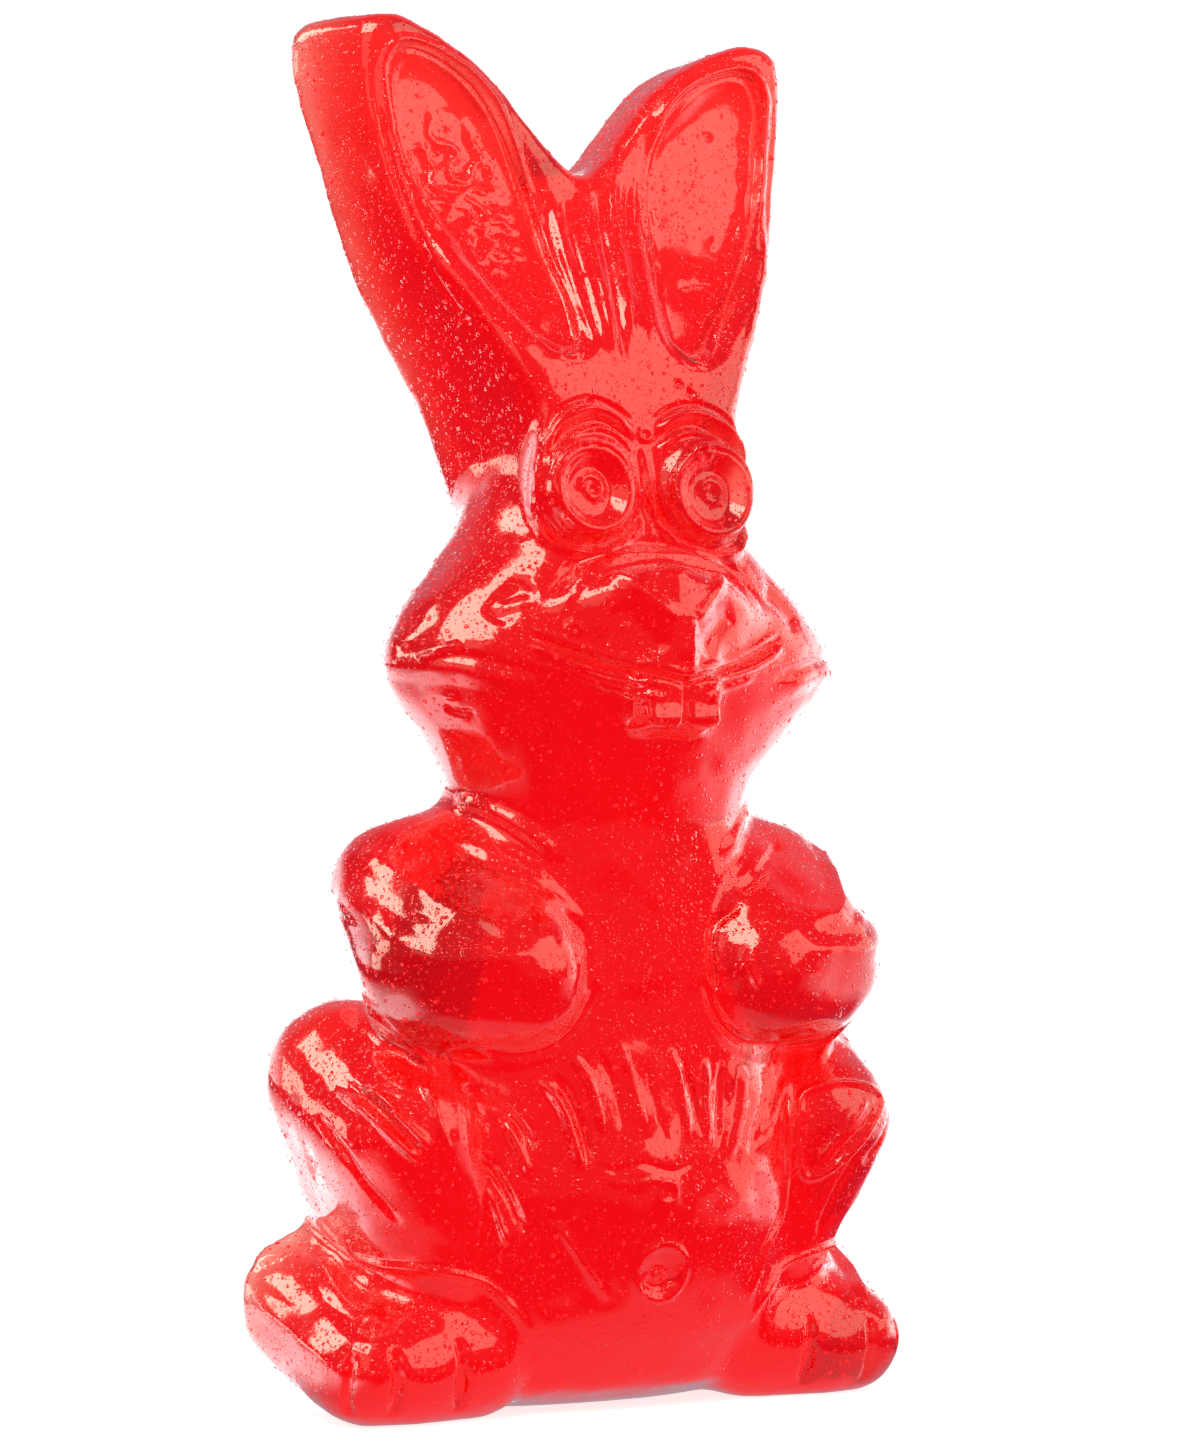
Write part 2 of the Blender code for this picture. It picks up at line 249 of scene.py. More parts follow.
class Skin:
    """The skin's points in maker's millimetres, and how far each one has been carved."""

    def __init__(self, mesh):
        self.mesh = mesh
        self.points = read_points(mesh)
        self.normals = read_normals(mesh)
        self.cut = np.zeros(len(self.points))

    def near(self, low, high, reach):
        within = (self.points > low - reach) & (self.points < high + reach)
        return np.flatnonzero(np.all(within, axis=1))

    def finish(self):
        write_points(self.mesh, self.points + self.normals * self.cut[:, None])

    def tell(self, what):
        print(what, "carved:", round(float(np.abs(self.cut).max()), 2), "mm at most")


def smooth_path(path, closed, steps=6):
    """More points between the given ones, on one smooth curve through them all."""
    path = np.asarray(path, dtype=float)
    if closed:
        ends = [path[-1:], path, path[:2]]
    else:
        ends = [2 * path[:1] - path[1:2], path, 2 * path[-1:] - path[-2:-1]]
    knots = np.concatenate(ends)
    made = []
    for a, b, c, d in zip(knots, knots[1:], knots[2:], knots[3:]):
        bend, twist = 2 * a - 5 * b + 4 * c - d, 3 * b - a - 3 * c + d
        for t in np.arange(steps) / steps:
            made.append(0.5 * (2 * b + (c - a) * t + bend * t**2 + twist * t**3))
    made.append(path[0] if closed else path[-1])
    return np.array(made)


def across_skin(points, normals, way):
    """Distance from a path measured along the skin, and the share of the path passed."""
    best = np.full(len(points), np.inf)
    share = np.zeros(len(points))
    lengths = np.linalg.norm(np.diff(way, axis=0), axis=1)
    passed = np.concatenate([[0.0], np.cumsum(lengths)])
    for i, (a, b) in enumerate(zip(way, way[1:])):
        along = b - a
        t = np.clip((points - a) @ along / max(along @ along, 1e-9), 0, 1)
        gap = points - (a + t[:, None] * along)
        off = np.sum(gap * normals, axis=1)
        flat = np.linalg.norm(gap - off[:, None] * normals, axis=1)
        flat[abs(off) > SKIN_DEPTH] = np.inf
        closer = flat < best
        best[closer] = flat[closer]
        share[closer] = (passed[i] + t[closer] * lengths[i]) / passed[-1]
    return best, share


def stroke(skin, path, width, height, sides=(1,), sharp=False, closed=False, fade=0.15):
    """Carves one stroke. Width is from its middle to its edge; a negative height is a groove."""
    for side in sides:
        way = smooth_path(np.asarray(path) * (side, 1, 1), closed)
        near = skin.near(way.min(axis=0), way.max(axis=0), width + SKIN_DEPTH)
        gap, share = across_skin(skin.points[near], skin.normals[near], way)
        rise = np.clip(1 - gap / width, 0, 1)
        if not sharp:
            rise = rise * rise * (3 - 2 * rise)
        if not closed:
            rise *= np.clip(share / fade, 0, 1) * np.clip((1 - share) / fade, 0, 1)
        skin.cut[near] += height * rise


def moved(path, up, back=0.0, wide=1.0):
    """The same path higher, further back or wider; up is negative for lower."""
    return [(x * wide, f - back, z + up) for x, f, z in path]


def arc(centre, forward, radius, start, end, count=9, squash=1.0):
    """Points on a part of a circle seen from the front; angles in degrees from the bunny's left."""
    made = []
    for turn in np.radians(np.linspace(start, end, count)):
        across, up = radius * math.cos(turn), radius * squash * math.sin(turn)
        made.append((centre[0] + across, forward, centre[1] + up))
    return made


skin = Skin(bunny.data)

# %% [markdown]
# ## The ears
# Each ear is a thick leaf with a shallow hollow. The hollow has a raised lip with a second, finer
# line beside it, and several creases run down between the ears to the forehead. The bottom of the
# hollow is wrinkled where the jelly shrank away from the mould.

# %% Carve the ears
EAR_LIP = [
    (5.2, 11.0, 74.9), (7.1, 9.2, 75.8), (10.0, 7.0, 78.8), (13.0, 5.0, 83.2), (14.8, 3.6, 87.6),
    (15.7, 2.9, 92.4), (15.9, 2.6, 95.6), (14.6, 2.6, 97.3), (11.8, 2.6, 96.9), (8.7, 2.5, 95.2),
    (6.3, 2.7, 92.3), (4.7, 3.5, 87.4), (3.8, 5.3, 82.4), (3.4, 7.6, 78.6), (3.9, 9.6, 75.8),
]
EAR_MIDDLE, LIP_INWARD = 9.5, 0.62  # the groove inside the lip lies this much nearer the middle
stroke(skin, EAR_LIP, 0.55, 0.34, BOTH, closed=True)
inner_line = []
for x, f, z in EAR_LIP:
    lift = 0.6 if z < 80 else -0.6 if z > 92 else 0
    inner_line.append((x + LIP_INWARD * (EAR_MIDDLE - x) / 6.0, f, z + lift))
stroke(skin, inner_line, 0.5, -0.34, BOTH, closed=True)
outer_line = [
    (6.0, 9.9, 74.2), (9.9, 7.6, 76.8), (13.3, 5.4, 81.6),
    (15.4, 3.8, 87.0), (16.5, 2.9, 92.4), (16.9, 2.6, 96.2),
]
stroke(skin, outer_line, 0.35, -0.22, BOTH)
# Creases between the ears: path, width and height
for way, width, height in (
    ([(-1.0, 4.3, 87.3), (-1.0, 6.4, 82.7), (-1.3, 9.5, 77.4), (-1.2, 10.9, 74.0)], 0.5, 0.22),
    ([(-2.3, 4.2, 87.4), (-2.4, 6.5, 82.7), (-2.5, 9.9, 76.8), (-1.8, 11.0, 74.0)], 0.55, -0.24),
    ([(-3.2, 4.0, 87.8), (-3.3, 6.3, 82.6), (-3.2, 8.8, 78.2), (-2.6, 10.5, 75.0)], 0.45, 0.15),
    ([(0.6, 4.1, 87.7), (0.3, 6.0, 83.6), (-0.5, 9.5, 77.5), (-0.8, 10.9, 74.1)], 0.5, -0.24),
    ([(3.4, 2.6, 90.4), (1.9, 4.5, 86.7), (0.9, 7.8, 80.4), (0.1, 10.6, 75.1)], 0.55, 0.22),
    ([(4.6, 2.4, 90.9), (2.9, 4.4, 86.0), (2.0, 7.2, 80.8), (1.3, 10.4, 75.2)], 0.45, -0.16),
):
    stroke(skin, way, width, height, fade=0.25)


def wrinkle(skin, centre, radii, size, height, seed):
    """Raises and sinks an oval patch of skin in lumps of one size."""
    centre, radii = np.array(centre), np.array(radii)
    near = skin.near(centre - radii, centre + radii, 0)
    points = skin.points[near]
    share = np.clip(1 - np.linalg.norm((points - centre) / radii, axis=1), 0, 1)
    lumps = np.array([noise.noise(Vector(p) / size + Vector((seed, 0, 0))) for p in points])
    folds = 1 - 2 * np.sqrt(np.abs(lumps))
    skin.cut[near] += height * folds * np.minimum(1, share * 3)


wrinkle(skin, (-10.6, 3.2, 88.6), (4.0, 3.0, 4.6), 1.7, 0.30, 3.0)
wrinkle(skin, (-8.2, 5.0, 83.4), (2.6, 3.0, 3.2), 1.3, 0.26, 8.0)
wrinkle(skin, (10.0, 3.6, 86.5), (4.5, 3.5, 7.5), 2.6, 0.07, 5.0)
stroke(skin, [(6.6, 6.2, 80.3), (7.8, 6.0, 80.5), (9.2, 5.6, 80.4)], 0.3, -0.25)
for mark in ((11.3, 2.2, 92.4), (4.6, 4.2, 84.5), (3.2, 11.2, 73.2), (4.1, 11.4, 72.5), (-4.3, 12.0, 71.6)):
    stroke(skin, [mark, np.add(mark, (0.2, 0, -0.5))], 0.42, -0.3, fade=0.01)
skin.tell("ears")

# %% [markdown]
# ## The face
# The eyes are discs with a raised rim and a hollow in which a small spiral makes the pupil. Each
# eye sits in a ring with two brow lines above it. The nose is a wedge with three sharp edges, and
# the smile is a groove with two soft lips under it.

# %% Carve the eyes
EYE_LEAN = 0.13  # the discs look up a little
PRESS_RADIUS, PRESS_BOX = 3.2, (3.3, 1.2, 3.3)
EYE_STEPS = (  # radius, and how far the skin stands out there
    (0.0, -0.62), (1.9, -0.5), (2.25, -0.3), (2.55, 0.02), (2.8, 0.16), (3.05, 0.1), (3.3, -0.06),
)


def press_eye(skin, side):
    """Presses the front of an eye to its rim and hollow."""
    centre = np.array((side * EYE_OUT, EYE_FRONT, EYE_HEIGHT))
    near = skin.near(centre, centre, PRESS_BOX)
    offsets = skin.points[near][:, (0, 2)] - centre[[0, 2]]
    radius = np.linalg.norm(offsets, axis=1)
    pressed = radius < PRESS_RADIUS
    inside = near[pressed]
    steps = np.array(EYE_STEPS)
    lean = EYE_LEAN * (skin.points[inside, 2] - EYE_HEIGHT)
    rise = np.interp(radius[pressed], steps[:, 0], steps[:, 1])
    skin.points[inside, 1] = EYE_FRONT + rise - lean


for side in BOTH:
    press_eye(skin, side)
    eye = (side * EYE_OUT, EYE_HEIGHT)
    front = EYE_FRONT - 0.6
    stroke(skin, arc(eye, front, 1.55, -75, 115), 0.55, -0.34, fade=0.3)
    spiral = []
    for i, turn in enumerate(np.radians(np.linspace(0, 560, 20))):
        radius = 0.25 + 0.04 * i
        spiral.append((eye[0] + radius * math.cos(turn), front, eye[1] + radius * math.sin(turn)))
    stroke(skin, spiral, 0.26, 0.24, fade=0.1)
    stroke(skin, arc(eye, EYE_FRONT - 1.6, 3.95, 168, 350, 15), 0.42, -0.42, fade=0.12)
    low_eye = (eye[0], eye[1] - 0.1)
    stroke(skin, arc(low_eye, EYE_FRONT - 1.3, 4.75, 160, 345, 15), 0.6, 0.42, fade=0.12)

BROW = [
    (8.3, 12.2, 67.4), (7.3, 12.2, 69.4), (5.8, 12.1, 70.4),
    (4.1, 12.0, 70.8), (2.3, 11.9, 70.2), (0.8, 12.0, 69.2),
]
stroke(skin, BROW, 0.5, 0.42, BOTH)
stroke(skin, moved(BROW, 0.85), 0.42, -0.3, BOTH)
stroke(skin, moved(BROW, -0.8, wide=0.93), 0.42, -0.4, BOTH)
stroke(skin, [(x * 0.86 + 0.2, f, z - 1.45) for x, f, z in BROW[1:]], 0.4, 0.26, BOTH)
stroke(skin, [(0.0, 12.2, 68.4), (0.1, 12.5, 66.0), (0.1, 12.6, 63.6), (0.0, 13.1, 61.6)], 0.6, 0.4)
skin.tell("eyes")

# %% Carve the nose, the smile and the cheeks
NOSE_TOP = [
    (0.0, 14.3, 60.5), (2.6, 14.2, 60.4), (4.8, 14.3, 59.7),
    (6.5, 14.3, 58.5), (7.6, 14.3, 57.2), (8.3, 14.3, 56.2),
]
crest = [(-x, f, z) for x, f, z in NOSE_TOP[:0:-1]] + NOSE_TOP
stroke(skin, crest, 0.8, 0.42, sharp=True)
stroke(skin, moved(crest, 1.1, 0.6, 1.06), 0.75, -0.36)
stroke(skin, [(4.7, 15.1, 59.4), (2.7, 16.9, 57.6), (0.7, 18.0, 55.8)], 0.7, 0.36, BOTH, sharp=True, fade=0.1)
stroke(skin, [(0.3, 18.1, 56.2), (0.3, 18.1, 54.2), (0.3, 17.9, 51.9)], 0.8, 0.34, sharp=True, fade=0.1)
stroke(skin, [(4.6, 15.8, 56.8), (2.6, 17.0, 55.0), (1.6, 17.3, 53.4)], 1.3, -0.3, BOTH)

SMILE = [
    (0.0, 17.6, 51.6), (1.7, 17.3, 52.0), (3.5, 16.5, 52.3),
    (6.0, 15.5, 53.0), (8.4, 14.7, 53.9), (10.3, 13.9, 54.8),
]
smile = [(-x, f, z) for x, f, z in SMILE[:0:-1]] + SMILE
stroke(skin, smile, 0.42, -0.5, fade=0.06)
stroke(skin, moved(smile, 0.6), 0.45, 0.22, fade=0.1)
stroke(skin, moved(SMILE[1:], -0.72), 0.45, 0.4, BOTH)
stroke(skin, moved(SMILE[1:5], -1.7, wide=0.9), 0.5, 0.26, BOTH)
stroke(skin, [(0.1, 17.4, 51.6), (0.1, 17.2, 50.0), (0.1, 17.0, 48.3)], 0.3, -0.35, fade=0.02)
stroke(skin, [(-3.4, 15.6, 47.7), (-1.2, 16.2, 47.6), (1.2, 16.2, 47.6), (3.4, 15.6, 47.7)], 0.5, -0.3)

CHEEK_EDGE = [
    (17.9, 5.5, 53.0), (17.7, 7.5, 52.8), (16.6, 10.0, 52.5),
    (14.5, 12.0, 52.2), (12.0, 13.2, 51.6), (9.4, 14.1, 50.9),
]
stroke(skin, CHEEK_EDGE, 1.2, 0.34, BOTH, sharp=True, fade=0.2)
stroke(skin, moved(CHEEK_EDGE[1:], 1.0, wide=0.985), 0.6, -0.2, BOTH)
stroke(skin, [(-17.0, 9.8, 53.1), (-15.8, 11.1, 53.6), (-14.6, 12.0, 54.1)], 0.55, 0.4)
stroke(skin, [(-14.9, 10.0, 49.8), (-14.0, 10.7, 49.3), (-13.3, 11.3, 49.4)], 0.34, -0.36)
stroke(skin, [(-15.1, 10.4, 50.7), (-14.3, 10.9, 50.5)], 0.34, 0.25)
stroke(skin, [(9.8, 12.9, 58.6), (11.4, 12.7, 57.2), (12.6, 12.5, 55.6)], 1.5, -0.35, BOTH)
stroke(skin, [(-12.6, 12.0, 56.4), (-11.2, 12.8, 56.9), (-9.8, 13.3, 57.4)], 0.8, 0.25, fade=0.3)
for bubble in ((-7.4, 15.0, 55.2), (4.2, 13.3, 67.7), (0.2, 12.0, 69.2)):
    ring = arc((bubble[0], bubble[2]), bubble[1], 0.45, 0, 315, 8)
    stroke(skin, ring, 0.26, 0.16, closed=True)
skin.tell("face")

# %% [markdown]
# ## Arms, fur and feet
# The arms have a hard upper edge from the shoulder to the paw. Tufts of fur are cut on the thighs
# and in a fan on the belly, a ring round the navel, and the toes are parted by short grooves.

# %% Carve the arms
UPPER_EDGE = [
    (18.8, 5.0, 39.8), (17.8, 9.0, 37.9), (16.5, 12.2, 36.1), (15.0, 13.6, 35.0), (12.5, 14.4, 34.6),
]
LOWER_EDGE = [
    (20.0, 3.1, 37.0), (19.9, 8.5, 35.2), (19.0, 12.6, 33.1),
    (17.2, 14.2, 32.4), (14.0, 15.1, 32.5), (10.0, 15.7, 32.5),
]
SHOULDER = [(11.8, 5.5, 43.2), (10.9, 7.9, 42.8), (9.5, 9.7, 41.8), (7.9, 11.0, 40.4), (6.5, 11.8, 39.0)]
UNDER_ARM = [
    (13.9, 11.3, 26.0), (11.2, 11.5, 25.5), (9.2, 12.2, 25.6),
    (7.0, 12.7, 26.5), (5.4, 12.9, 28.2), (4.4, 12.9, 30.4),
]
stroke(skin, UPPER_EDGE, 1.3, 0.4, BOTH, sharp=True)
stroke(skin, LOWER_EDGE, 1.2, 0.3, BOTH, sharp=True)
stroke(skin, SHOULDER, 0.9, 0.42, BOTH)
stroke(skin, [(13.8, 8.4, 40.2), (11.6, 10.6, 39.0), (9.4, 12.0, 37.6), (7.4, 12.8, 36.6)], 0.9, -0.3, BOTH)
stroke(skin, UNDER_ARM, 0.6, -0.42, BOTH)
stroke(skin, [(5.4, 12.9, 29.6), (5.0, 13.0, 32.0), (5.4, 12.9, 34.4), (7.4, 12.9, 35.8)], 0.5, -0.36, BOTH)
stroke(skin, [(7.6, 15.7, 29.6), (6.7, 15.6, 31.2), (6.8, 15.4, 33.0)], 0.5, 0.2, BOTH)
skin.tell("arms")

# %% Carve the fur of the thighs
THIGH_TOP = [(19.9, 7.6, 29.2), (19.3, 9.4, 28.0), (18.0, 10.0, 26.7), (16.6, 10.1, 25.3), (15.4, 10.7, 23.8)]
stroke(skin, THIGH_TOP, 0.65, 0.42, BOTH)
# Tufts: path, width and height
for way, width, height in (
    ([(-22.2, 7.6, 23.4), (-21.3, 10.5, 21.9), (-20.2, 12.0, 20.3), (-18.0, 12.6, 18.3)], 0.42, 0.42),
    ([(-21.8, 8.6, 24.0), (-20.9, 10.9, 22.5), (-19.8, 12.2, 21.0), (-18.3, 12.8, 19.3)], 0.42, -0.36),
    ([(-21.0, 9.4, 23.7), (-20.2, 11.3, 22.6), (-19.2, 12.3, 21.1), (-17.4, 12.9, 19.2)], 0.5, 0.44),
    ([(-17.5, 11.3, 24.0), (-17.0, 12.5, 22.0), (-16.7, 12.8, 20.6), (-16.1, 12.9, 19.2)], 0.34, 0.42),
    ([(-23.0, 6.5, 21.4), (-22.3, 9.4, 18.9), (-20.8, 10.2, 16.5), (-18.6, 10.7, 14.0)], 0.6, -0.45),
    ([(-13.8, 10.4, 23.5), (-11.7, 10.7, 22.5), (-10.2, 11.7, 21.0), (-9.0, 12.3, 19.0)], 0.6, -0.42),
    ([(-10.9, 11.5, 20.8), (-10.0, 12.0, 18.9), (-9.4, 12.2, 17.2)], 0.42, 0.36),
    ([(-14.2, 12.1, 19.3), (-11.7, 11.2, 17.4), (-10.7, 11.8, 15.5), (-9.8, 12.2, 13.0)], 0.6, -0.38),
    ([(-12.5, 11.2, 16.3), (-11.6, 11.4, 14.5), (-10.7, 11.7, 12.3)], 0.42, 0.34),
    ([(-7.9, 13.0, 13.9), (-5.8, 13.1, 11.0), (-3.8, 13.1, 8.3)], 0.4, 0.26),
    (
        [(13.1, 10.6, 22.8), (12.4, 11.2, 18.0), (11.4, 11.5, 13.7), (9.6, 12.1, 11.0), (8.3, 12.1, 7.3)],
        0.5, 0.4,
    ),
    ([(18.7, 12.5, 21.5), (15.7, 12.9, 18.8), (14.2, 12.3, 17.0)], 0.34, 0.26),
    ([(19.3, 12.3, 20.8), (16.6, 13.0, 18.2), (15.0, 12.5, 16.6)], 0.34, -0.26),
    ([(17.9, 12.4, 18.0), (16.0, 11.8, 14.4), (14.9, 11.1, 11.5)], 0.45, -0.34),
    ([(22.4, 8.0, 22.6), (21.0, 11.0, 19.6), (18.6, 12.4, 16.6)], 0.5, -0.3),
):
    stroke(skin, way, width, height)
OVAL = [
    (13.9, 11.5, 22.1), (17.4, 12.1, 22.8), (20.2, 11.6, 21.6), (18.9, 12.7, 19.6),
    (16.4, 12.5, 17.2), (13.8, 11.8, 16.0), (13.1, 11.6, 18.0), (13.4, 11.5, 20.6),
]
stroke(skin, OVAL, 0.45, 0.32, closed=True)
stroke(skin, [(-24.2, -1.0, 9.6), (-23.6, 3.0, 14.4), (-23.4, 5.0, 19.6)], 1.0, -0.2)
skin.tell("thighs")

# %% Carve the belly, the navel and the toes
def swell(skin, centre, radii, height):
    """Raises a broad soft mound."""
    share = np.exp(-np.sum(((skin.points - centre) / radii) ** 2, axis=1))
    skin.cut += height * share


swell(skin, (0.0, 13.8, 14.0), (11.0, 5.0, 6.5), 1.4)
# The fan of fur on the belly: path, width and height
for way, width, height in (
    ([(-8.6, 12.4, 23.8), (-7.4, 12.8, 22.2), (-6.7, 13.1, 20.3), (-6.1, 13.3, 17.4)], 0.55, 0.5),
    ([(-7.6, 12.6, 24.2), (-6.5, 13.0, 22.2), (-5.8, 13.2, 20.0), (-5.3, 13.4, 17.6)], 0.5, -0.34),
    ([(-6.4, 12.8, 25.6), (-5.1, 13.2, 23.4), (-4.4, 13.5, 19.8)], 0.55, 0.34),
    ([(-4.6, 13.0, 26.0), (-3.4, 13.3, 23.4), (-2.8, 13.6, 20.0)], 0.5, -0.2),
    ([(-2.6, 13.1, 26.0), (-1.8, 13.4, 23.0), (-1.2, 13.7, 19.6)], 0.6, 0.26),
    ([(-0.8, 13.5, 25.2), (-0.3, 13.7, 22.2), (0.4, 13.8, 19.0)], 0.45, -0.2),
    ([(1.4, 13.4, 25.8), (2.0, 13.6, 22.8), (2.3, 13.7, 19.4)], 0.5, 0.26),
    ([(2.3, 13.4, 24.9), (3.0, 13.6, 22.6), (3.3, 13.7, 19.6)], 0.34, -0.34),
    ([(4.4, 13.2, 25.0), (4.2, 13.5, 22.0), (3.8, 13.6, 19.0)], 0.45, 0.36),
    ([(5.9, 13.0, 24.8), (5.4, 13.3, 22.0), (4.6, 13.5, 18.8)], 0.4, -0.3),
    ([(8.1, 12.4, 24.4), (7.3, 12.9, 21.2), (5.7, 13.3, 18.0)], 0.6, 0.42),
    ([(13.2, 10.2, 23.2), (11.1, 11.3, 20.9), (8.7, 12.5, 17.9)], 0.75, 0.5),
    ([(12.2, 11.0, 24.2), (10.0, 11.9, 21.4), (7.6, 12.9, 18.0)], 0.5, -0.34),
    (
        [(-5.4, 13.4, 18.0), (-3.6, 13.6, 17.4), (-1.6, 13.8, 17.8), (0.6, 13.8, 17.2), (2.6, 13.7, 17.9)],
        0.35, -0.16,
    ),
    ([(-4.8, 13.4, 16.9), (-2.8, 13.7, 16.4), (-0.4, 13.8, 16.6), (1.8, 13.8, 16.0)], 0.35, 0.14),
):
    stroke(skin, way, width, height, fade=0.2)
stroke(skin, arc((0.1, 15.7), 13.9, 0.72, 0, 324, 10), 0.24, 0.18, closed=True)
NAVEL = (0.0, 10.3)
stroke(skin, arc(NAVEL, 13.2, 2.05, 0, 345, 24, 1.05), 0.36, 0.28, closed=True)
stroke(skin, arc(NAVEL, 13.0, 1.35, 200, 350, 9), 0.45, -0.4, fade=0.2)
stroke(skin, arc(NAVEL, 13.0, 0.7, 210, 350, 7), 0.4, 0.4, fade=0.2)

FOOT_LINE = [
    (19.4, 4.6, 11.5), (17.8, 9.0, 11.0), (15.5, 10.6, 10.7),
    (12.4, 10.9, 9.8), (10.4, 11.4, 8.1), (8.8, 11.6, 5.7),
]
stroke(skin, FOOT_LINE, 0.5, 0.36, BOTH)
stroke(skin, [(20.8, 2.0, 11.2), (21.0, 6.7, 8.8), (19.7, 10.2, 7.0)], 1.1, 0.32, BOTH, sharp=True)
stroke(skin, [(24.9, -0.5, 8.3), (24.1, 4.5, 6.5), (23.0, 10.0, 4.2)], 1.1, 0.26, BOTH, sharp=True)
for way in (
    [(22.2, 10.4, 5.4), (22.3, 10.2, 3.2), (22.2, 9.6, 0.8)],
    [(19.5, 11.5, 5.8), (19.4, 11.8, 3.2), (19.3, 10.8, 0.8)],
    [(14.4, 11.3, 6.2), (14.2, 11.6, 3.2), (14.1, 10.6, 0.8)],
):
    stroke(skin, way, 0.6, -0.38, BOTH)
skin.tell("all")

# %% [markdown]
# ## Soft unevenness
# No gummy is as even as its mould: it sags and dries a little as it sets. Broad, low lumps make
# the edges of every reflection wander, which is what tells jelly from glass. They are real dents in
# the mesh, because a bump in a material would not show at the outline.

# %% Let the skin sag, then thin the mesh
MOST_TRIANGLES = 190000
LUMPS = ((5.0, 0.16, 11.0), (1.9, 0.07, 23.0))  # size and height in millimetres, and seed
FLAT_SOLE = 0.8  # below this height the carving dies out, so that the bunny stands flat


def sag(skin, size, height, seed):
    shift = Vector((seed, seed, seed))
    lumps = [noise.noise(Vector(p) / size + shift) for p in skin.points]
    skin.cut += height * np.array(lumps)


def count_triangles(mesh):
    return sum(len(face.vertices) - 2 for face in mesh.polygons)


for size, height, seed in LUMPS:
    sag(skin, size, height, seed)
skin.cut *= np.clip(skin.points[:, 2] / FLAT_SOLE, 0, 1)
skin.finish()
triangles = count_triangles(bunny.data)
thin = bunny.modifiers.new("thin", "DECIMATE")
thin.ratio = min(1.0, MOST_TRIANGLES / triangles)
settle(bunny)
print("triangles:", triangles, "thinned to", count_triangles(bunny.data))

# %% [markdown]
# ## Where the dew sits
# Moisture beads sit thickest where the skin faces up or sideways, and hardly at all under the chin
# or on the sole. The amount is worked out once from the way each point of skin faces and is stored
# on the mesh, so that the beads and the material both follow it.

# %% Store the dew on the skin
DEW_EVERYWHERE, DEW_ON_TOP, DEW_ON_SIDES, DEW_PATCHES = 0.75, 0.35, 0.35, 0.5
SIDE_START = 0.2  # skin that faces the side more than this gets more dew
PATCH_SIZE = 7.0  # millimetres
UNDERNEATH, LEAST_UNDERNEATH = 0.8, 0.2  # how fast dew fades as the skin faces down, and what stays
DRY_HEIGHT = 2.0  # dew dies out towards the sole over these millimetres
BACK, DEW_ON_BACK = -0.6, 0.5  # skin that faces back more than this has this share of the dew


def dew_amount(points, normals):
    side, front, up = normals.T
    amount = DEW_EVERYWHERE + DEW_ON_TOP * np.clip(up, 0, 1)
    amount = amount + DEW_ON_SIDES * np.clip(abs(side) - SIDE_START, 0, 1)
    patches = np.array([noise.noise(Vector(p) / PATCH_SIZE) for p in points])
    amount = amount + DEW_PATCHES * patches
    amount *= np.clip(1 + UNDERNEATH * up, LEAST_UNDERNEATH, 1)
    amount *= np.clip(points[:, 2] / DRY_HEIGHT, 0, 1)
    amount *= np.where(front < BACK, DEW_ON_BACK, 1.0)
    return np.clip(amount, 0, 1)


dew = dew_amount(read_points(bunny.data), read_normals(bunny.data))
store = bunny.data.attributes.new("dew", "FLOAT", "POINT")
store.data.foreach_set("value", dew.astype(np.float32))
print("dew, mean:", round(float(dew.mean()), 2))

# %% [markdown]
# ## The jelly
# Jelly lets light through and swallows everything but red on the way, so its colour must come from
# its thickness and not from paint. The surface shader lets the light in, a volume absorption node
# swallows green and blue with depth, and a clear coat gives the wet shine. The finest dew is far
# smaller than a triangle, so it is a bump of little round cells.

# %% Shader nodes by name
NODE_STEP, NODES_IN_ROW = 250, 8


def node(tree, kind, **values):
    """A new node, placed in rows in the order of making."""
    row, column = divmod(len(tree.nodes), NODES_IN_ROW)
    made = tree.nodes.new(kind)
    made.location = (NODE_STEP * column, -NODE_STEP * row)
    for name, value in values.items():
        setattr(made, name, value)
    return made


def wire(tree, source, target):
    tree.links.new(source, target)


def add_sockets(tree, in_out, kind, *names):
    for name in names:
        tree.interface.new_socket(name, in_out=in_out, socket_type="NodeSocket" + kind)


def feed(tree, made, values):
    """Fills a node's inputs, each from another node's output or with a plain value."""
    for key, value in values.items():
        if isinstance(value, bpy.types.NodeSocket):
            wire(tree, value, made.inputs[key])
        else:
            made.inputs[key].default_value = value


def remap(tree, source, low, high, out_low, out_high):
    made = node(tree, "ShaderNodeMapRange")
    feed(tree, made, {
        "Value": source, "From Min": low, "From Max": high, "To Min": out_low, "To Max": out_high,
    })
    return made.outputs["Result"]


def calc(tree, operation, one, two):
    made = node(tree, "ShaderNodeMath", operation=operation)
    feed(tree, made, {0: one, 1: two})
    return made.outputs[0]


def blend(tree, share, one, two):
    """A colour between two, by a share from 0 to 1."""
    made = node(tree, "ShaderNodeMix", data_type="RGBA")
    feed(tree, made, {"Factor": share, "A": one, "B": two})
    return made.outputs["Result"]


# %% The fine dew, as a node group
CELL_LAYERS = ((1.0, 0.35), (1.9, 0.40))  # how fine the cells are, and the share of them that has dew
CELL_EDGE, CELL_TOP = 0.34, 0.08  # where a bead begins and where it is highest, in cells


